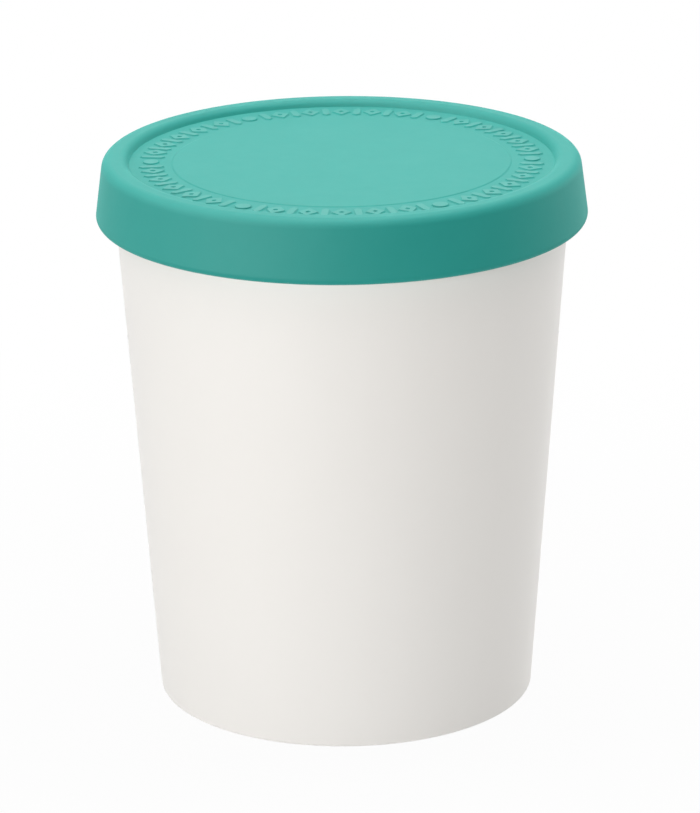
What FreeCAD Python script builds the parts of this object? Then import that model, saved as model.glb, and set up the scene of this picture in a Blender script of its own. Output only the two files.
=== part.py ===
"""Tall round ice cream tub with a soft cap lid, as a parametric model in millimetres.

The tub stands on the XY plane with its axis on +Z. Its wall widens upwards to a
small outward lip. The lid is one moulding: a skirt that flares downwards, a rounded
rim over the tub's lip, a sunk panel with a raised disc, and a ring of raised
lozenges, darts and dots round the disc. The lid is shut, so the tub is solid up to
the underside of the lid's panel.
"""
import FreeCAD, Part
import os
import Sketcher

# The sizes that a designer sets: alias, millimetres (or as noted), what it is.
SIZES = (
    ("base_radius", 46.5, "tub's outside radius at the foot"),
    ("rim_radius", 56.1, "tub's outside radius at the rim, without the lip"),
    ("tub_height", 134.2, "foot to the top of the rim"),
    ("rim_wall", 2.2, "wall thickness at the rim"),
    ("lip_width", 0.6, "how far the lip stands out from the rim"),
    ("lip_depth", 2.5, "height of the lip"),
    ("lip_round", 0.5, "rounding of the lip's edges"),
    ("foot_round", 1.0, "rounding of the foot's outer edge"),
    ("foot_width", 2.4, "width of the ring that the tub stands on"),
    ("base_recess", 1.2, "how far the base lies above the foot"),
    ("recess_lean", 1.0, "how far the recess narrows over its depth"),
    ("gate_radius", 1.6, "radius of the mould's gate mark under the base"),
    ("gate_height", 0.3, "how far the gate mark stands out"),
    ("side_play", 0.15, "clearance between lid and rim, all round"),
    ("lid_depth", 15.5, "height of the lid's skirt, outside"),
    ("crown_thickness", 2.4, "lid over the top of the rim"),
    ("crown_width", 6.4, "lid's top outer corner to the edge of the panel"),
    ("crown_lean", 0.95, "how far the crown's inner side leans back over its height"),
    ("crown_round", 2.2, "rounding of the crown's inner edge"),
    ("shoulder_round", 2.5, "rounding of the lid's top outer edge"),
    ("lid_wall", 1.3, "lid outside the lip, at the lid's top corner"),
    ("skirt_flare", 2.05, "how much wider the skirt is at its lower edge"),
    ("skirt_wall", 3.0, "thickness of the skirt's lower edge"),
    ("hem_round", 1.45, "rounding of the skirt's outer lower edge"),
    ("hem_inner_round", 0.8, "rounding of the skirt's inner lower edge"),
    ("grip_depth", 4.0, "height of the band that grips the wall under the lip"),
    ("panel_drop", 1.7, "crown down to the sunk panel"),
    ("panel_wall", 2.3, "thickness of the sunk panel"),
    ("band_width", 10.3, "edge of the panel to the raised disc"),
    ("disc_rise", 0.25, "how far the disc stands above the panel"),
    ("relief_rise", 0.35, "how far the ornament stands above the panel"),
    ("ring_inset", 5.4, "edge of the panel to the middle of the ornament"),
    ("motif_length", 6.2, "ornament across its ring"),
    ("motif_gap", 0.6, "gap between neighbours in the ornament"),
    ("lozenge_stroke", 1.4, "width of a lozenge's four sides"),
    ("dart_width", 1.9, "width of a dart"),
    ("dart_point", 0.9, "length of a dart's pointed ends"),
    ("dot_radius", 2.0, "radius of the dots between the groups"),
    ("round_limit", 0.92, "largest share of a wall that its rounding takes"),
    ("motif_pitch", 9.75, "lozenge to lozenge, in degrees"),
    ("lozenges", 5, "lozenges in a group, a number"),
    ("groups", 6, "groups round the ring, a number"),
)

# What follows from them. A name without a sheet is in this same sheet.
DERIVED = (
    ("lip_radius", "Sizes.rim_radius + Sizes.lip_width"),
    ("lip_foot", "Sizes.tub_height - Sizes.lip_depth"),
    ("lip_rounding", "min(Sizes.lip_round; Sizes.round_limit * Sizes.lip_width)"),
    ("crown_side", "sqrt(Sizes.crown_lean ^ 2 + Sizes.panel_drop ^ 2)"),
    ("crown_reach", "(crown_side - Sizes.crown_lean) / Sizes.panel_drop"),
    ("crown_rounding", "min(Sizes.crown_round; Sizes.round_limit * crown_side / crown_reach)"),
    ("wall_slope", "(Sizes.rim_radius - Sizes.base_radius) / Sizes.tub_height"),
    ("lip_foot_wall", "Sizes.base_radius + wall_slope * lip_foot"),
    ("rim_inside", "Sizes.rim_radius - Sizes.rim_wall"),
    ("foot_inside", "Sizes.base_radius - Sizes.foot_width"),
    ("recess_inside", "foot_inside - Sizes.recess_lean"),
    ("gate_level", "Sizes.base_recess - Sizes.gate_height"),
    ("lid_top", "Sizes.tub_height + Sizes.crown_thickness"),
    ("hem_level", "lid_top - Sizes.lid_depth"),
    ("panel_level", "lid_top - Sizes.panel_drop"),
    ("panel_under", "panel_level - Sizes.panel_wall"),
    ("disc_level", "panel_level + Sizes.disc_rise"),
    ("groove_outside", "lip_radius + Sizes.side_play"),
    ("groove_inside", "rim_inside - Sizes.side_play"),
    ("top_corner", "groove_outside + Sizes.lid_wall"),
    ("hem_corner", "top_corner + Sizes.skirt_flare"),
    ("hem_inside", "hem_corner - Sizes.skirt_wall"),
    ("grip_top", "lip_foot - Sizes.side_play"),
    ("grip_foot", "grip_top - Sizes.grip_depth"),
    ("grip_top_radius", "Sizes.base_radius + wall_slope * grip_top + Sizes.side_play"),
    ("grip_foot_radius", "Sizes.base_radius + wall_slope * grip_foot + Sizes.side_play"),
    ("panel_radius", "top_corner - Sizes.crown_width"),
    ("crown_inside", "panel_radius + Sizes.crown_lean"),
    ("disc_radius", "panel_radius - Sizes.band_width"),
    ("ring_radius", "panel_radius - Sizes.ring_inset"),
    ("motif_inner", "ring_radius - Sizes.motif_length / 2"),
    ("motif_outer", "ring_radius + Sizes.motif_length / 2"),
    ("pitch_arc", "ring_radius * Sizes.motif_pitch * pi / 180"),
    ("lozenge_half", "(pitch_arc - Sizes.dart_width) / 2 - Sizes.motif_gap"),
    ("lozenge_edge", "sqrt(lozenge_half ^ 2 + (Sizes.motif_length / 2) ^ 2)"),
    ("stroke_along", "Sizes.lozenge_stroke * lozenge_edge / lozenge_half"),
    ("stroke_across", "2 * Sizes.lozenge_stroke * lozenge_edge / Sizes.motif_length"),
    ("hole_inner", "motif_inner + stroke_along"),
    ("hole_outer", "motif_outer - stroke_along"),
    ("hole_half", "lozenge_half - stroke_across"),
    ("dart_half", "Sizes.dart_width / 2"),
    ("dart_inner", "motif_inner + Sizes.dart_point"),
    ("dart_outer", "motif_outer - Sizes.dart_point"),
    ("group_span", "(Sizes.lozenges - 1) * Sizes.motif_pitch"),
    ("lozenge_start", "180 / Sizes.groups - group_span / 2"),
    ("dart_start", "lozenge_start - Sizes.motif_pitch / 2"),
    ("dart_span", "Sizes.lozenges * Sizes.motif_pitch"),
    ("darts", "Sizes.lozenges + 1"),
)

FULL_TURN = 360
UP = FreeCAD.Vector(0, 0, 1)
NEAR = 1e-4

# How a sketch's constraints name its own axes and the points of its geometry.
ORIGIN = (-1, 1)
ACROSS_AXIS = -1
UPRIGHT_AXIS = -2
START = 1
END = 2
CENTRE = 3


def driving_sheet(doc):
    """The spreadsheet of plain numbers, each under its alias."""
    sheet = doc.addObject("Spreadsheet::Sheet", "Sizes")
    for row, (alias, value, note) in enumerate(SIZES, start=1):
        sheet.set(f"A{row}", alias)
        sheet.set(f"B{row}", str(value))
        sheet.set(f"C{row}", note)
        sheet.setAlias(f"B{row}", alias)
    return sheet


def derived_sheet(doc):
    """The spreadsheet of formulas that tie the pieces to the driving sizes."""
    sheet = doc.addObject("Spreadsheet::Sheet", "Derived")
    for row, (alias, formula) in enumerate(DERIVED, start=1):
        sheet.set(f"A{row}", alias)
        sheet.set(f"B{row}", f"={formula}")
        sheet.setAlias(f"B{row}", alias)
    return sheet


def value_of(doc, cell):
    """The number in a cell named as Sheet.alias; 0 stands for the axis itself."""
    if cell == 0:
        return 0.0
    sheet, alias = cell.lstrip("-").split(".")
    sign = -1.0 if cell.startswith("-") else 1.0
    return sign * float(doc.getObject(sheet).get(alias))


def origin_item(body, role):
    """One of the body's own origin planes or axes."""
    return next(item for item in body.Origin.OriginFeatures if item.Role == role)


def new_body(doc, name):
    """An empty body whose Label names its file."""
    body = doc.addObject("PartDesign::Body", name)
    body.Label = name
    return body


def sketch_on(body, name, role):
    """An empty sketch on one of the body's origin planes."""
    sketch = body.newObject("Sketcher::SketchObject", name)
    sketch.AttachmentSupport = [(origin_item(body, role), "")]
    sketch.MapMode = "FlatFace"
    return sketch


def hold(sketch, kind, corner, cell):
    """Tie one coordinate of a corner to its cell."""
    if cell == 0:
        axis = UPRIGHT_AXIS if kind == "DistanceX" else ACROSS_AXIS
        sketch.addConstraint(Sketcher.Constraint("PointOnObject", *corner, axis))
        return
    start = value_of(sketch.Document, cell)
    index = sketch.addConstraint(Sketcher.Constraint(kind, *ORIGIN, *corner, start))
    sketch.setExpression(f"Constraints[{index}]", cell)


def outline(sketch, corners):
    """A closed outline of straight sides, each corner held by two cells."""
    doc = sketch.Document
    points = [FreeCAD.Vector(value_of(doc, x), value_of(doc, y), 0) for x, y in corners]
    first = sketch.GeometryCount
    for start, end in zip(points, points[1:] + points[:1]):
        sketch.addGeometry(Part.LineSegment(start, end), False)
    count = len(points)
    for side in range(count):
        follower = first + (side + 1) % count
        joint = Sketcher.Constraint("Coincident", first + side, END, follower, START)
        sketch.addConstraint(joint)
    for side, (x, y) in enumerate(corners):
        hold(sketch, "DistanceX", (first + side, START), x)
        hold(sketch, "DistanceY", (first + side, START), y)


def round_outline(sketch, centre, radius):
    """A circle centred on the sketch's first axis, held by two cells."""
    middle = FreeCAD.Vector(value_of(sketch.Document, centre), 0, 0)
    start = value_of(sketch.Document, radius)
    circle = sketch.addGeometry(Part.Circle(middle, UP, start), False)
    hold(sketch, "DistanceX", (circle, CENTRE), centre)
    hold(sketch, "DistanceY", (circle, CENTRE), 0)
    size = sketch.addConstraint(Sketcher.Constraint("Radius", circle, start))
    sketch.setExpression(f"Constraints[{size}]", radius)


def turned(body, name, corners):
    """A solid of revolution about +Z from an outline of radii and heights."""
    section = sketch_on(body, f"{name}_section", "XZ_Plane")
    outline(section, corners)
    solid = body.newObject("PartDesign::Revolution", name)
    solid.Profile = section
    solid.ReferenceAxis = (section, ["V_Axis"])
    solid.Angle = FULL_TURN
    section.Visibility = False
    body.Document.recompute()
    return solid


def rim_edge(feature, radius, level):
    """The name of the round edge at this radius and height."""
    for number, edge in enumerate(feature.Shape.Edges, start=1):
        curve = edge.Curve
        if not isinstance(curve, Part.Circle):
            continue
        if abs(curve.Radius - radius) < NEAR and abs(curve.Center.z - level) < NEAR:
            return f"Edge{number}"
    raise ValueError(f"no round edge at radius {radius}, height {level}")


def rounded(body, name, size, corners):
    """Round the edges that the given outline corners have become."""
    doc = body.Document
    base = body.Tip
    edges = [rim_edge(base, value_of(doc, r), value_of(doc, z)) for r, z in corners]
    fillet = body.newObject("PartDesign::Fillet", name)
    fillet.Base = (base, edges)
    fillet.setExpression("Radius", size)
    doc.recompute()
    return fillet


def motif_sketch(body, name, start):
    """An empty sketch on the sunk panel, turned to the motif's first place."""
    sketch = sketch_on(body, name, "XY_Plane")
    sketch.setExpression("AttachmentOffset.Base.z", "Derived.panel_level")
    sketch.setExpression("AttachmentOffset.Rotation.Angle", f"{start} * 1 deg")
    return sketch


def raised(body, sketch, name):
    """Raise a sketched motif off the panel."""
    pad = body.newObject("PartDesign::Pad", name)
    pad.Profile = sketch
    pad.setExpression("Length", "Sizes.relief_rise")
    sketch.Visibility = False
    body.Document.recompute()
    return pad


def polar_step(body, name, count, span=None):
    """One turn-and-repeat about the lid's axis: over a span, or all round."""
    pattern = body.newObject("PartDesign::PolarPattern", name)
    pattern.Axis = (origin_item(body, "Z_Axis"), [""])
    pattern.setExpression("Occurrences", count)
    pattern.Angle = FULL_TURN
    if span:
        pattern.setExpression("Angle", f"{span} * 1 deg")
    return pattern


def repeated(body, pad, name, steps):
    """Repeat a raised motif by one polar step after another."""
    repeat = body.newObject("PartDesign::MultiTransform", f"{name}_ring")
    repeat.Originals = [pad]
    repeat.Transformations = [
        polar_step(body, f"{name}_{step}", *values)
        for step, values in steps.items()
    ]
    body.Tip = repeat
    body.Document.recompute()
    return repeat


def add_ornament(body):
    """Groups of lozenges and darts round the disc, with a dot between groups."""
    ring = ("Sizes.groups",)

    sketch = motif_sketch(body, "lozenge_outline", "Derived.lozenge_start")
    outline(sketch, (
        ("Derived.motif_inner", 0),
        ("Derived.ring_radius", "-Derived.lozenge_half"),
        ("Derived.motif_outer", 0),
        ("Derived.ring_radius", "Derived.lozenge_half"),
    ))
    outline(sketch, (
        ("Derived.hole_inner", 0),
        ("Derived.ring_radius", "-Derived.hole_half"),
        ("Derived.hole_outer", 0),
        ("Derived.ring_radius", "Derived.hole_half"),
    ))
    group = ("Sizes.lozenges", "Derived.group_span")
    repeated(body, raised(body, sketch, "lozenge"), "lozenge", {"group": group, "groups": ring})

    sketch = motif_sketch(body, "dart_outline", "Derived.dart_start")
    outline(sketch, (
        ("Derived.motif_inner", 0),
        ("Derived.dart_inner", "-Derived.dart_half"),
        ("Derived.dart_outer", "-Derived.dart_half"),
        ("Derived.motif_outer", 0),
        ("Derived.dart_outer", "Derived.dart_half"),
        ("Derived.dart_inner", "Derived.dart_half"),
    ))
    group = ("Derived.darts", "Derived.dart_span")
    repeated(body, raised(body, sketch, "dart"), "dart", {"group": group, "groups": ring})

    sketch = motif_sketch(body, "dot_outline", "0")
    round_outline(sketch, "Derived.ring_radius", "Sizes.dot_radius")
    repeated(body, raised(body, sketch, "dot"), "dot", {"groups": ring})


def build_tub(doc):
    """The tub: foot ring, sunk base, widening wall, lip, and its filled inside."""
    body = new_body(doc, "tub")
    turned(body, "wall", (
        (0, "Derived.gate_level"),
        ("Sizes.gate_radius", "Derived.gate_level"),
        ("Sizes.gate_radius", "Sizes.base_recess"),
        ("Derived.recess_inside", "Sizes.base_recess"),
        ("Derived.foot_inside", 0),
        ("Sizes.base_radius", 0),
        ("Derived.lip_foot_wall", "Derived.lip_foot"),
        ("Derived.lip_radius", "Derived.lip_foot"),
        ("Derived.lip_radius", "Sizes.tub_height"),
        ("Derived.rim_inside", "Sizes.tub_height"),
        ("Derived.rim_inside", "Derived.panel_under"),
        (0, "Derived.panel_under"),
    ))
    rounded(body, "foot_edge", "Sizes.foot_round", (("Sizes.base_radius", 0),))
    rounded(body, "lip_edges", "Derived.lip_rounding", (
        ("Derived.lip_radius", "Derived.lip_foot"),
        ("Derived.lip_radius", "Sizes.tub_height"),
        ("Derived.rim_inside", "Sizes.tub_height"),
    ))
    return body


def build_lid(doc):
    """The lid: skirt, crown, groove over the lip, sunk panel, disc and ornament."""
    body = new_body(doc, "lid")
    turned(body, "cap", (
        (0, "Derived.disc_level"),
        ("Derived.disc_radius", "Derived.disc_level"),
        ("Derived.disc_radius", "Derived.panel_level"),
        ("Derived.panel_radius", "Derived.panel_level"),
        ("Derived.crown_inside", "Derived.lid_top"),
        ("Derived.top_corner", "Derived.lid_top"),
        ("Derived.hem_corner", "Derived.hem_level"),
        ("Derived.hem_inside", "Derived.hem_level"),
        ("Derived.grip_foot_radius", "Derived.grip_foot"),
        ("Derived.grip_top_radius", "Derived.grip_top"),
        ("Derived.groove_outside", "Derived.grip_top"),
        ("Derived.groove_outside", "Sizes.tub_height"),
        ("Derived.groove_inside", "Sizes.tub_height"),
        ("Derived.groove_inside", "Derived.panel_under"),
        (0, "Derived.panel_under"),
    ))
    rounded(body, "shoulder", "Sizes.shoulder_round", (("Derived.top_corner", "Derived.lid_top"),))
    rounded(body, "crown_edge", "Derived.crown_rounding", (("Derived.crown_inside", "Derived.lid_top"),))
    rounded(body, "hem", "Sizes.hem_round", (("Derived.hem_corner", "Derived.hem_level"),))
    rounded(body, "hem_inner", "Sizes.hem_inner_round", (("Derived.hem_inside", "Derived.hem_level"),))
    add_ornament(body)
    return body


def check_objects(doc):
    """Stop if any object of the document failed to compute."""
    for item in doc.Objects:
        if "Invalid" in item.State or "Error" in item.State:
            raise RuntimeError(f"{item.Name} failed: {item.State}")


def check_shape(body):
    """Stop unless the body is one sound solid."""
    shape = body.Shape
    if shape.isNull() or not shape.isValid() or len(shape.Solids) != 1:
        raise RuntimeError(f"{body.Label} is not one valid solid")


def main():
    doc = FreeCAD.newDocument("ice_cream_tub")
    driving_sheet(doc)
    derived_sheet(doc)
    doc.recompute()
    bodies = [build_tub(doc), build_lid(doc)]
    doc.recompute()
    check_objects(doc)
    for body in bodies:
        check_shape(body)
    os.makedirs("parts", exist_ok=True)
    for body in bodies:
        body.Shape.exportStep(f"parts/{body.Label}.step")
        print(f"{body.Label}: {body.Shape.Volume:.1f} cubic mm")


main()
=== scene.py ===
"""Studio scene of a shut ice cream tub: a moulded tub, a silicone cap lid, a white floor.

Shapes are built in millimetres round the tub's axis and scaled to metres at the end.
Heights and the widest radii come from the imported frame; the widths between them are
the named values below. They are those of the CAD model, with a few small edges rounded
as well, and with the raised disc and the ornament a little lower and sloped at the
sides.
"""

import math

import bmesh
import bpy
from mathutils import Matrix, Vector
from mathutils.geometry import delaunay_2d_cdt


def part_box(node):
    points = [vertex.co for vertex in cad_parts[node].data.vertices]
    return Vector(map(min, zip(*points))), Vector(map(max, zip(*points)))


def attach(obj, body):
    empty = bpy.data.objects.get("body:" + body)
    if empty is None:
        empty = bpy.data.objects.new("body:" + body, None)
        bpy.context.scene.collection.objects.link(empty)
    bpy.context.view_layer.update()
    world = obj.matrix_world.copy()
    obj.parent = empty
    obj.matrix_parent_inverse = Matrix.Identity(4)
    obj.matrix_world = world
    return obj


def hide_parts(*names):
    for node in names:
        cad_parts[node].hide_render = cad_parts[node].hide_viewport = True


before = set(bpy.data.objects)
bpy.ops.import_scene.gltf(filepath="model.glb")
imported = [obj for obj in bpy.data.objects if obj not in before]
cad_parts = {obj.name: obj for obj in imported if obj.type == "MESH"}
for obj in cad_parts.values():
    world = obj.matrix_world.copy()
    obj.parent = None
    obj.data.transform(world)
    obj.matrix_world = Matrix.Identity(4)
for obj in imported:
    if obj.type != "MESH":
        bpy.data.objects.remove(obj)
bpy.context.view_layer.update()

MM = 0.001


def in_mm(node):
    """The lowest and highest corner of a CAD node, in millimetres."""
    low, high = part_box(node)
    return low / MM, high / MM


_, TUB_HIGH = in_mm("tub")
LID_LOW, LID_HIGH = in_mm("lid")

# Tub, in millimetres. Radii are measured from the axis, heights from the floor.
LIP_RADIUS = TUB_HIGH.x
LIP_WIDTH = 0.6
LIP_DEPTH = 2.5
LIP_ROUND = 0.5
RIM_TOP = TUB_HIGH.z
RIM_WALL = 2.2
RIM_RADIUS = LIP_RADIUS - LIP_WIDTH
BASE_RADIUS = 46.5
FOOT_ROUND = 1.0
FOOT_WIDTH = 2.4
BASE_RECESS = 1.2
RECESS_LEAN = 1.0
RECESS_ROUND = 0.4
GATE_RADIUS = 1.6
GATE_HEIGHT = 0.3
GATE_ROUND = 0.12
WALL_SLOPE = (RIM_RADIUS - BASE_RADIUS) / RIM_TOP

# Lid.
LID_TOP = LID_HIGH.z
HEM_LEVEL = LID_LOW.z
SIDE_PLAY = 0.15
LID_WALL = 1.3
TOP_CORNER = LIP_RADIUS + SIDE_PLAY + LID_WALL
SKIRT_FLARE = 2.05
SKIRT_WALL = 3.0
HEM_CORNER = TOP_CORNER + SKIRT_FLARE
HEM_ROUND = 1.45
HEM_INNER_ROUND = 0.8
SHOULDER_ROUND = 2.5
GRIP_DEPTH = 4.0
CROWN_WIDTH = 6.4
CROWN_LEAN = 0.95
CROWN_ROUND = 2.2
PANEL_DROP = 1.7
PANEL_WALL = 2.3
PANEL_RADIUS = TOP_CORNER - CROWN_WIDTH
PANEL_LEVEL = LID_TOP - PANEL_DROP
PANEL_UNDER = PANEL_LEVEL - PANEL_WALL
CREASE_ROUND = 0.12
CREASE_REACH = 2 * CREASE_ROUND
BAND_WIDTH = 10.3
DISC_RADIUS = PANEL_RADIUS - BAND_WIDTH
DISC_RISE = 0.17
DISC_LEAN = 0.36
DISC_ROUND = 0.3

# Raised ornament on the lid's panel.
GROUPS = 6
LOZENGES = 5
MOTIF_PITCH = math.radians(9.75)
MOTIF_LENGTH = 6.2
MOTIF_GAP = 0.6
RING_INSET = 5.4
RING_RADIUS = PANEL_RADIUS - RING_INSET
LOZENGE_STROKE = 1.4
LOZENGE_ROUND = 0.35
HOLE_ROUND = 0.3
DART_WIDTH = 1.9
DART_POINT = 0.9
DART_ROUND = 0.3
DOT_RADIUS = 2.0
RELIEF_RISE = 0.28
RELIEF_CREST = 0.15
RELIEF_FOOT = 0.08
RELIEF_DRAFT = 0.18
DOT_CREST = 0.26

# Fineness of the meshes.
SPOKES = 256
ARC_STEP = math.radians(12)
FEWEST_ARC_STEPS = 3
CORNER_STEPS = 4
DOT_STEPS = 40
SHARP_ANGLE = math.radians(40)

# Each rounding has a support point at most this far past its ends, so that the flat
# sides are shaded flat. Lengths that differ by less than NEAR are the same.
SUPPORT = 0.05
NEAR = 0.001

# The panel is triangulated over the whole hull of its points. Points closer to each
# other than the merge distance become one.
WHOLE_HULL = 0
MERGE_DISTANCE = 1e-6


# ---------------------------------------------------------------- shapes

def arc(centre, radius, start, end, steps):
    """Points along an arc from one angle to another, both ends included."""
    turns = [start + (end - start) * i / steps for i in range(steps + 1)]
    return [centre + radius * Vector((math.cos(a), math.sin(a))) for a in turns]


def rounded_corner(before, corner, after, rounding):
    """The arc that rounds a corner, with a support point on each side of it."""
    back = (before - corner).normalized()
    ahead = (after - corner).normalized()
    half = back.angle(ahead) / 2
    reach = rounding / math.tan(half)
    centre = corner + (back + ahead).normalized() * (rounding / math.sin(half))
    first = corner + back * reach - centre
    last = corner + ahead * reach - centre
    start = math.atan2(first.y, first.x)
    sweep = math.atan2(first.x * last.y - first.y * last.x, first.dot(last))
    steps = max(FEWEST_ARC_STEPS, math.ceil(abs(sweep) / ARC_STEP))
    points = arc(centre, rounding, start, start + sweep, steps)
    support = min(SUPPORT, rounding / 2)
    return [points[0] + back * support, *points, points[-1] + ahead * support]


def profile(corners):
    """Points of a lathe profile from (radius, height, rounding) corners."""
    spots = [Vector(corner[:2]) for corner in corners]
    points = [spots[0]]
    for i in range(1, len(corners) - 1):
        if corners[i][2]:
            points += rounded_corner(spots[i - 1], spots[i], spots[i + 1], corners[i][2])
        else:
            points.append(spots[i])
    return points + [spots[-1]]


def ring(mesh, radius, height):
    """A closed loop of vertices about the axis, or the one vertex on it."""
    if radius < NEAR:
        return [mesh.verts.new((0, 0, height))]
    spokes = [math.tau * i / SPOKES for i in range(SPOKES)]
    return [mesh.verts.new((radius * math.cos(a), radius * math.sin(a), height)) for a in spokes]


def bridge(mesh, first, second):
    """Faces between two loops of equal length, or between a loop and one point."""
    count = max(len(first), len(second))
    for i in range(count):
        j = (i + 1) % count
        corners = (
            first[i % len(first)], first[j % len(first)],
            second[j % len(second)], second[i % len(second)],
        )
        mesh.faces.new(list(dict.fromkeys(corners)))


def lathe(mesh, points):
    """Turn a profile about the axis. Returns its first loop."""
    loops = [ring(mesh, p.x, p.y) for p in points]
    for first, second in zip(loops, loops[1:]):
        bridge(mesh, first, second)
    return loops[0]


def tub_profile():
    """The tub from the middle of its base round to the middle of its filled top."""
    gate_level = BASE_RECESS - GATE_HEIGHT
    foot_inside = BASE_RADIUS - FOOT_WIDTH
    lip_foot = RIM_TOP - LIP_DEPTH
    rim_inside = RIM_RADIUS - RIM_WALL
    return profile((
        (0, gate_level, 0),
        (GATE_RADIUS, gate_level, GATE_ROUND),
        (GATE_RADIUS, BASE_RECESS, GATE_ROUND),
        (foot_inside - RECESS_LEAN, BASE_RECESS, RECESS_ROUND),
        (foot_inside, 0, RECESS_ROUND),
        (BASE_RADIUS, 0, FOOT_ROUND),
        (BASE_RADIUS + WALL_SLOPE * lip_foot, lip_foot, 0),
        (LIP_RADIUS, lip_foot, LIP_ROUND),
        (LIP_RADIUS, RIM_TOP, LIP_ROUND),
        (rim_inside, RIM_TOP, LIP_ROUND),
        (rim_inside, PANEL_UNDER, 0),
        (0, PANEL_UNDER, 0),
    ))


def cap_profile():
    """The lid from its panel's edge over the crown and round to its underside."""
    grip_top = RIM_TOP - LIP_DEPTH - SIDE_PLAY
    grip_foot = grip_top - GRIP_DEPTH
    groove_outside = LIP_RADIUS + SIDE_PLAY
    groove_inside = RIM_RADIUS - RIM_WALL - SIDE_PLAY
    return profile((
        (PANEL_RADIUS - CREASE_REACH, PANEL_LEVEL, 0),
        (PANEL_RADIUS, PANEL_LEVEL, CREASE_ROUND),
        (PANEL_RADIUS + CROWN_LEAN, LID_TOP, CROWN_ROUND),
        (TOP_CORNER, LID_TOP, SHOULDER_ROUND),
        (HEM_CORNER, HEM_LEVEL, HEM_ROUND),
        (HEM_CORNER - SKIRT_WALL, HEM_LEVEL, HEM_INNER_ROUND),
        (BASE_RADIUS + WALL_SLOPE * grip_foot + SIDE_PLAY, grip_foot, 0),
        (BASE_RADIUS + WALL_SLOPE * grip_top + SIDE_PLAY, grip_top, 0),
        (groove_outside, grip_top, 0),
        (groove_outside, RIM_TOP, 0),
        (groove_inside, RIM_TOP, 0),
        (groove_inside, PANEL_UNDER, 0),
        (0, PANEL_UNDER, 0),
    ))


def disc_profile():
    """The raised disc from the panel up and in to the axis."""
    return profile((
        (DISC_RADIUS + CREASE_REACH, PANEL_LEVEL, 0),
        (DISC_RADIUS, PANEL_LEVEL, CREASE_ROUND),
        (DISC_RADIUS - DISC_LEAN, PANEL_LEVEL + DISC_RISE, DISC_ROUND),
        (0, PANEL_LEVEL + DISC_RISE, 0),
    ))


# ---------------------------------------------------------------- ornament

def relief_section(crest):
    """How the side of a raised motif goes up: (outwards, upwards) from foot to top."""
    foot_centre = Vector((RELIEF_DRAFT + RELIEF_FOOT, RELIEF_FOOT))
    crest_centre = Vector((-crest, RELIEF_RISE - crest))
    right = math.pi / 2
    return [
        Vector((foot_centre.x + SUPPORT, 0)),
        *arc(foot_centre, RELIEF_FOOT, 3 * right, 2 * right, FEWEST_ARC_STEPS),
        *arc(crest_centre, crest, 0, right, CORNER_STEPS),
        Vector((-crest - SUPPORT, RELIEF_RISE)),
    ]


def rounded_outline(corners, rounding):
    """A convex outline, counter-clockwise, as (point, outward normal) pairs."""
    pairs = []
    spots = [Vector(corner) for corner in corners]
    for before, corner, after in zip(spots[-1:] + spots, spots, spots[1:] + spots[:1]):
        side_in = (corner - before).normalized()
        side_out = (after - corner).normalized()
        normal_in = Vector((side_in.y, -side_in.x))
        normal_out = Vector((side_out.y, -side_out.x))
        centre = corner - (normal_in + normal_out) * rounding / (1 + normal_in.dot(normal_out))
        start = math.atan2(normal_in.y, normal_in.x)
        sweep = math.acos(normal_in.dot(normal_out))
        for normal in arc(Vector((0, 0)), 1, start, start + sweep, CORNER_STEPS):
            pairs.append((centre + normal * rounding, normal))
    return pairs


def circle_outline(radius):
    """A round outline as (point, outward normal) pairs."""
    turns = [math.tau * i / DOT_STEPS for i in range(DOT_STEPS)]
    normals = [Vector((math.cos(a), math.sin(a))) for a in turns]
    return [(normal * radius, normal) for normal in normals]


def raise_side(mesh, outline, section, angle, inwards=False):
    """The side of a motif at an angle round the lid. Returns its foot and top loops."""
    place = Matrix.Rotation(angle, 3, "Z")
    way = -1 if inwards else 1
    loops = []
    for out, up in section:
        loop = []
        for point, normal in outline:
            spot = point + normal * out * way
            spot = place @ Vector((RING_RADIUS + spot.x, spot.y, PANEL_LEVEL + up))
            loop.append(mesh.verts.new(spot))
        loops.append(loop)
    for first, second in zip(loops, loops[1:]):
        bridge(mesh, first, second)
    return loops[0], loops[-1]


def lozenge_corners(half_length, half_width):
    """A lozenge's corners, its length along the lid's radius."""
    return ((half_length, 0), (0, half_width), (-half_length, 0), (0, -half_width))


def add_lozenge(mesh, angle, half_width):
    """A raised lozenge with an open middle. Returns its foot loop."""
    half_length = MOTIF_LENGTH / 2
    edge = math.hypot(half_length, half_width)
    hole_length = half_length - LOZENGE_STROKE * edge / half_width
    hole_width = half_width - LOZENGE_STROKE * edge / half_length
    section = relief_section(RELIEF_CREST)
    outside = rounded_outline(lozenge_corners(half_length, half_width), LOZENGE_ROUND)
    inside = rounded_outline(lozenge_corners(hole_length, hole_width), HOLE_ROUND)
    foot, top = raise_side(mesh, outside, section, angle)
    well, brink = raise_side(mesh, inside, section, angle, inwards=True)
    bridge(mesh, top, brink)
    mesh.faces.new(well)
    return foot


def add_dart(mesh, angle):
    """A raised bar with two pointed ends. Returns its foot loop."""
    tip = MOTIF_LENGTH / 2
    shoulder = tip - DART_POINT
    half = DART_WIDTH / 2
    corners = (
        (tip, 0), (shoulder, half), (-shoulder, half),
        (-tip, 0), (-shoulder, -half), (shoulder, -half),
    )
    outline = rounded_outline(corners, DART_ROUND)
    foot, top = raise_side(mesh, outline, relief_section(RELIEF_CREST), angle)
    mesh.faces.new(top)
    return foot


def add_dot(mesh, angle):
    """A raised round button. Returns its foot loop."""
    outline = circle_outline(DOT_RADIUS)
    foot, top = raise_side(mesh, outline, relief_section(DOT_CREST), angle)
    mesh.faces.new(top)
    return foot


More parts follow.
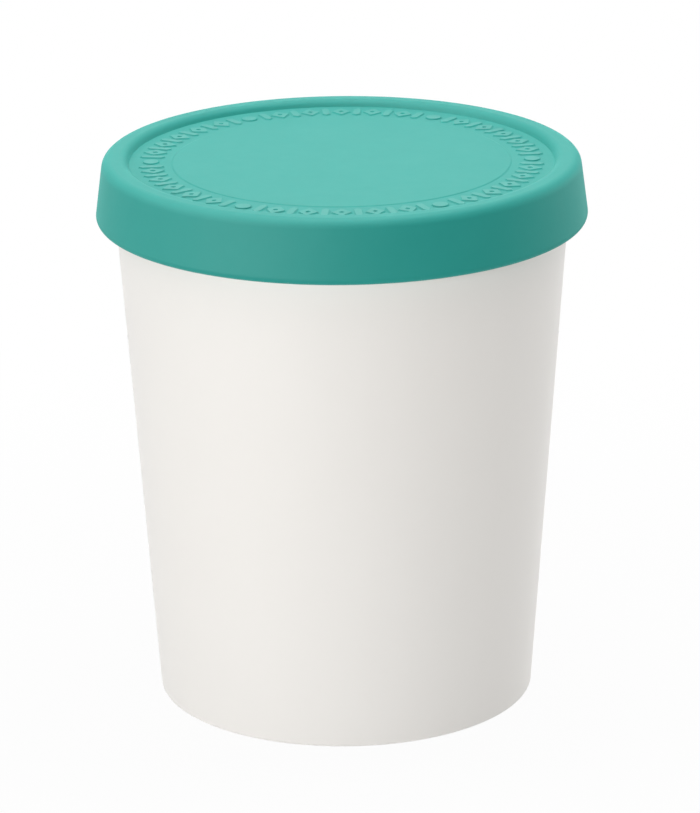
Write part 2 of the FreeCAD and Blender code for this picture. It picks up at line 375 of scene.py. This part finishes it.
def add_ornament(mesh):
    """Groups of darts and lozenges with a dot between groups. Returns the foot loops."""
    half_width = (RING_RADIUS * MOTIF_PITCH - DART_WIDTH) / 2 - MOTIF_GAP
    feet = []
    for group in range(GROUPS):
        start = math.tau * group / GROUPS
        middle = start + math.pi / GROUPS
        feet.append(add_dot(mesh, start))
        for step in range(LOZENGES + 1):
            feet.append(add_dart(mesh, middle + (step - LOZENGES / 2) * MOTIF_PITCH))
        for step in range(LOZENGES):
            angle = middle + (step - (LOZENGES - 1) / 2) * MOTIF_PITCH
            feet.append(add_lozenge(mesh, angle, half_width))
    return feet


def fill_panel(mesh, outer, holes):
    """The flat panel between its edge and the loops that stand on it."""
    loops = [outer, *holes]
    verts = [vert for loop in loops for vert in loop]
    owner = [number for number, loop in enumerate(loops) for _ in loop]
    edges = []
    for number, loop in enumerate(loops):
        first = owner.index(number)
        edges += [(first + i, first + (i + 1) % len(loop)) for i in range(len(loop))]
    flat = [vert.co.xy for vert in verts]
    result = delaunay_2d_cdt(flat, edges, [], WHOLE_HULL, MERGE_DISTANCE)
    _, _, faces, sources, _, _ = result
    for face in faces:
        corners = [sources[i][0] for i in face]
        owners = {owner[i] for i in corners}
        if len(owners) > 1 or owners == {0}:
            mesh.faces.new([verts[i] for i in corners])


# ---------------------------------------------------------------- pieces

# The mark on the flat tops of the ornament, where the lid's material is smoother.
POLISH = "polish"


def as_piece(mesh, name, node, material):
    """Make an object of a mesh built in millimetres, in place of a CAD node."""
    bmesh.ops.recalc_face_normals(mesh, faces=mesh.faces)
    bmesh.ops.scale(mesh, vec=(MM, MM, MM), verts=mesh.verts)
    data = bpy.data.meshes.new(name)
    mesh.to_mesh(data)
    mesh.free()
    data.shade_smooth()
    data.set_sharp_from_angle(angle=SHARP_ANGLE)
    data.materials.append(material)
    piece = bpy.data.objects.new(name, data)
    bpy.context.scene.collection.objects.link(piece)
    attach(piece, "root")
    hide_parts(node)


def make_tub(material):
    """The moulded tub, closed at the level where the lid's panel sits."""
    mesh = bmesh.new()
    lathe(mesh, tub_profile())
    as_piece(mesh, "moulded_tub", "tub", material)


def make_lid(material):
    """The silicone lid: cap, raised disc, and the panel with its ornament."""
    mesh = bmesh.new()
    panel_edge = lathe(mesh, cap_profile())
    disc_edge = lathe(mesh, disc_profile())
    feet = add_ornament(mesh)
    fill_panel(mesh, panel_edge, [disc_edge, *feet])
    polish = mesh.verts.layers.float.new(POLISH)
    for vert in mesh.verts:
        vert[polish] = abs(vert.co.z - PANEL_LEVEL - RELIEF_RISE) < NEAR
    as_piece(mesh, "silicone_lid", "lid", material)


# ---------------------------------------------------------------- materials

# Where in a noise's range the mottle's two tints lie.
MOTTLE_STOPS = (0.3, 0.7)

# The tub's plastic. Each noise is a scale and a detail, each range is a lowest and a
# highest value, and each grain is a depth in metres and a strength.
PLASTIC_TINTS = ((0.863, 0.838, 0.800), (0.873, 0.851, 0.816))
PLASTIC_MOTTLE_NOISE = (9, 2)
PLASTIC_ROUGHNESS = (0.36, 0.44)
PLASTIC_ROUGHNESS_NOISE = (60, 3)
PLASTIC_GRAIN = (0.00002, 0.25)
PLASTIC_GRAIN_NOISE = (2200, 2)

# The lid's silicone. Its roughness is less by the polish on the ornament's flat tops.
SILICONE_TINTS = ((0.011, 0.272, 0.235), (0.013, 0.278, 0.241))
SILICONE_MOTTLE_NOISE = (90, 3)
SILICONE_ROUGHNESS = (0.62, 0.68)
SILICONE_ROUGHNESS_NOISE = (300, 3)
SILICONE_POLISH = 0.14
SILICONE_GRAIN = (0.00004, 0.3)
SILICONE_GRAIN_NOISE = (3500, 2)
SILICONE_IOR = 1.41
SILICONE_SPECULAR = 0.32
SILICONE_SHEEN = 0.12
SILICONE_SHEEN_ROUGHNESS = 0.5
SILICONE_SHEEN_TINT = (0.3, 1.0, 0.9, 1)


def new_material(name):
    """A material with one Principled shader. Returns it, its nodes and the shader."""
    material = bpy.data.materials.new(name)
    material.use_nodes = True
    shader = material.node_tree.nodes["Principled BSDF"]
    return material, material.node_tree, shader


def noise(tree, scale, detail):
    """Noise in the object's own coordinates."""
    place = tree.nodes.new("ShaderNodeTexCoord")
    texture = tree.nodes.new("ShaderNodeTexNoise")
    texture.inputs["Scale"].default_value = scale
    texture.inputs["Detail"].default_value = detail
    tree.links.new(place.outputs["Object"], texture.inputs["Vector"])
    return texture.outputs["Fac"]


def mottle(tree, factor, tints):
    """Map the middle of a noise's range to colours between two tints."""
    node = tree.nodes.new("ShaderNodeValToRGB")
    for stop, tint, position in zip(node.color_ramp.elements, tints, MOTTLE_STOPS):
        stop.color = (*tint, 1)
        stop.position = position
    tree.links.new(factor, node.inputs["Fac"])
    return node.outputs["Color"]


def spread(tree, factor, low, high):
    """Map a factor from 0..1 to low..high."""
    node = tree.nodes.new("ShaderNodeMapRange")
    node.inputs["To Min"].default_value = low
    node.inputs["To Max"].default_value = high
    tree.links.new(factor, node.inputs["Value"])
    return node.outputs["Result"]


def combine(tree, operation, first, second):
    """The result of a mathematical operation on two values."""
    node = tree.nodes.new("ShaderNodeMath")
    node.operation = operation
    tree.links.new(first, node.inputs[0])
    tree.links.new(second, node.inputs[1])
    return node.outputs["Value"]


def bump(tree, height, distance, strength):
    """The surface's direction under a fine relief of the given depth in metres."""
    node = tree.nodes.new("ShaderNodeBump")
    node.inputs["Distance"].default_value = distance
    node.inputs["Strength"].default_value = strength
    tree.links.new(height, node.inputs["Height"])
    return node.outputs["Normal"]


def tub_plastic():
    """Off-white polypropylene with a smooth satin skin."""
    material, tree, shader = new_material("tub_plastic")
    tint = mottle(tree, noise(tree, *PLASTIC_MOTTLE_NOISE), PLASTIC_TINTS)
    roughness = spread(tree, noise(tree, *PLASTIC_ROUGHNESS_NOISE), *PLASTIC_ROUGHNESS)
    grain = bump(tree, noise(tree, *PLASTIC_GRAIN_NOISE), *PLASTIC_GRAIN)
    tree.links.new(tint, shader.inputs["Base Color"])
    tree.links.new(roughness, shader.inputs["Roughness"])
    tree.links.new(grain, shader.inputs["Normal"])
    return material


def lid_silicone():
    """Matt teal silicone with a very fine even grain and a faint sheen."""
    material, tree, shader = new_material("lid_silicone")
    tint = mottle(tree, noise(tree, *SILICONE_MOTTLE_NOISE), SILICONE_TINTS)
    polish = tree.nodes.new("ShaderNodeAttribute")
    polish.attribute_name = POLISH
    smoothing = spread(tree, polish.outputs["Fac"], 0, SILICONE_POLISH)
    skin = spread(tree, noise(tree, *SILICONE_ROUGHNESS_NOISE), *SILICONE_ROUGHNESS)
    roughness = combine(tree, "SUBTRACT", skin, smoothing)
    grain = bump(tree, noise(tree, *SILICONE_GRAIN_NOISE), *SILICONE_GRAIN)
    tree.links.new(tint, shader.inputs["Base Color"])
    tree.links.new(roughness, shader.inputs["Roughness"])
    tree.links.new(grain, shader.inputs["Normal"])
    shader.inputs["IOR"].default_value = SILICONE_IOR
    shader.inputs["Specular IOR Level"].default_value = SILICONE_SPECULAR
    shader.inputs["Sheen Weight"].default_value = SILICONE_SHEEN
    shader.inputs["Sheen Roughness"].default_value = SILICONE_SHEEN_ROUGHNESS
    shader.inputs["Sheen Tint"].default_value = SILICONE_SHEEN_TINT
    return material


# ---------------------------------------------------------------- studio

WHITE = (1, 1, 1, 1)

# The camera. Its lens and sensor are in millimetres, the rest in metres.
CAMERA_DISTANCE = 1.1228
CAMERA_PITCH = math.radians(18.41)
CAMERA_ROLL = math.radians(0.514)
CAMERA_LENS = 200.7
SENSOR_WIDTH = 36
CLIP_END = 20
CAMERA_AIM = Vector((0.00153, 0, 0.07186))

# The lamps, all at one distance from the middle of the tub. Each has a name, degrees
# from the front to the right, degrees upwards, width and height in metres, and watts.
# A wash gives no gloss.
LAMP_DISTANCE = 1.4
LAMP_AIM = Vector((0, 0, 0.07))
LAMPS = (
    ("key_front", -25, 10, 0.8, 0.5, 8.9),
    ("fill_left", -100, 40, 0.8, 0.8, 3.5),
    ("wash_right", 110, 50, 0.8, 0.8, 3.4),
    ("rim_right", 120, 10, 0.8, 0.5, 4.6),
    ("rim_back", 180, 10, 0.8, 0.5, 1.8),
    ("wash_back", 180, 10, 0.8, 0.5, 0.95),
    ("overhead_back", 180, 78, 0.8, 0.8, 10.9),
    ("overhead_front", 0, 75, 0.8, 0.8, 3.2),
)
# Lit white boards at the left and above, which show only as gloss.
BOARDS = (
    ("board_back", -100, 10, 0.8, 0.8, 1.6),
    ("board_left", -75, 10, 0.8, 0.8, 4.9),
    ("board_side", -50, 10, 0.8, 0.8, 15.3),
    ("board_front", -25, 10, 0.8, 0.8, 3.8),
    ("board_high", -75, 45, 1.4, 1.4, 22.0),
    ("board_top", 0, 88, 1.6, 1.4, 32.0),
    ("board_over", 180, 55, 1.6, 1.4, 8.2),
)
WORLD_LIGHT = 0.18

# The floor and its own glow. It is seen a little less white within NEAR_TUB metres of
# the tub's axis, and fully white from FAR_FROM_TUB metres outwards.
FLOOR_REACH = 6
FLOOR_COLOUR = (0.3, 0.3, 0.3, 1)
FLOOR_GLOW = 0.46
NEAR_TUB = 0.05
FAR_FROM_TUB = 0.30
LEAST_WHITENESS = 0.92


def seen_directly(tree):
    """1 for rays from the camera, a mirror or glass, and 0 for the light that falls on things."""
    path = tree.nodes.new("ShaderNodeLightPath")
    total = path.outputs["Is Camera Ray"]
    for name in ("Is Glossy Ray", "Is Transmission Ray"):
        total = combine(tree, "MAXIMUM", total, path.outputs[name])
    return total


def make_camera():
    """The camera, looking down at the tub with a slight roll."""
    data = bpy.data.cameras.new("camera")
    data.lens = CAMERA_LENS
    data.sensor_width = SENSOR_WIDTH
    data.clip_end = CLIP_END
    camera = bpy.data.objects.new("camera", data)
    bpy.context.scene.collection.objects.link(camera)
    back = Vector((0, -math.cos(CAMERA_PITCH), math.sin(CAMERA_PITCH)))
    right = Vector((1, 0, 0))
    up = back.cross(right)
    side = math.cos(CAMERA_ROLL) * right - math.sin(CAMERA_ROLL) * up
    top = math.sin(CAMERA_ROLL) * right + math.cos(CAMERA_ROLL) * up
    turn = Matrix((side, top, back)).transposed().to_4x4()
    camera.matrix_world = Matrix.Translation(CAMERA_AIM + back * CAMERA_DISTANCE) @ turn
    bpy.context.scene.camera = camera


def make_lamps():
    """Soft boxes round the tub and overhead, washes with no gloss, and the boards."""
    for name, azimuth, elevation, width, height, power in LAMPS + BOARDS:
        data = bpy.data.lights.new(name, "AREA")
        data.shape = "RECTANGLE"
        data.size = width
        data.size_y = height
        data.energy = power
        lamp = bpy.data.objects.new(name, data)
        bpy.context.scene.collection.objects.link(lamp)
        across = Matrix.Rotation(math.radians(azimuth), 3, "Z")
        turn = across @ Matrix.Rotation(-math.radians(elevation), 3, "X")
        way = turn @ Vector((0, -1, 0))
        lamp.location = LAMP_AIM + way * LAMP_DISTANCE
        lamp.rotation_euler = way.to_track_quat("Z", "Y").to_euler()
        lamp.visible_camera = False
        lamp.visible_diffuse = not name.startswith("board")
        lamp.visible_glossy = not name.startswith("wash")


def make_world():
    """Even light from all round, seen directly as white."""
    world = bpy.data.worlds.new("studio")
    bpy.context.scene.world = world
    world.use_nodes = True
    tree = world.node_tree
    background = tree.nodes["Background"]
    background.inputs["Color"].default_value = WHITE
    strength = spread(tree, seen_directly(tree), WORLD_LIGHT, 1)
    tree.links.new(strength, background.inputs["Strength"])


def floor_whiteness(tree):
    """How white the floor is seen: a little less near the tub, where its shadow shows."""
    place = tree.nodes.new("ShaderNodeTexCoord")
    distance = tree.nodes.new("ShaderNodeVectorMath")
    distance.operation = "LENGTH"
    tree.links.new(place.outputs["Object"], distance.inputs[0])
    whiteness = tree.nodes.new("ShaderNodeMapRange")
    whiteness.interpolation_type = "SMOOTHSTEP"
    whiteness.inputs["From Min"].default_value = NEAR_TUB
    whiteness.inputs["From Max"].default_value = FAR_FROM_TUB
    whiteness.inputs["To Min"].default_value = LEAST_WHITENESS
    tree.links.new(distance.outputs["Value"], whiteness.inputs["Value"])
    return whiteness.outputs["Result"]


def white_floor():
    """A pale glowing floor, which is seen as white apart from the tub's soft shadow."""
    material = bpy.data.materials.new("floor")
    material.use_nodes = True
    tree = material.node_tree
    tree.nodes.clear()
    pale = tree.nodes.new("ShaderNodeBsdfDiffuse")
    pale.inputs["Color"].default_value = FLOOR_COLOUR
    glow = tree.nodes.new("ShaderNodeEmission")
    glow.inputs["Strength"].default_value = FLOOR_GLOW
    lit = tree.nodes.new("ShaderNodeAddShader")
    white = tree.nodes.new("ShaderNodeEmission")
    seen = tree.nodes.new("ShaderNodeMixShader")
    output = tree.nodes.new("ShaderNodeOutputMaterial")
    share = combine(tree, "MULTIPLY", seen_directly(tree), floor_whiteness(tree))
    tree.links.new(pale.outputs["BSDF"], lit.inputs[0])
    tree.links.new(glow.outputs["Emission"], lit.inputs[1])
    tree.links.new(share, seen.inputs["Fac"])
    tree.links.new(lit.outputs["Shader"], seen.inputs[1])
    tree.links.new(white.outputs["Emission"], seen.inputs[2])
    tree.links.new(seen.outputs["Shader"], output.inputs["Surface"])
    return material


def make_floor(material):
    """The floor that the tub stands on."""
    mesh = bmesh.new()
    bmesh.ops.create_grid(mesh, x_segments=1, y_segments=1, size=FLOOR_REACH)
    data = bpy.data.meshes.new("floor")
    mesh.to_mesh(data)
    mesh.free()
    data.materials.append(material)
    floor = bpy.data.objects.new("floor", data)
    bpy.context.scene.collection.objects.link(floor)


make_camera()
make_tub(tub_plastic())
make_lid(lid_silicone())
make_lamps()
make_world()
make_floor(white_floor())
bpy.context.scene.view_settings.view_transform = "Standard"
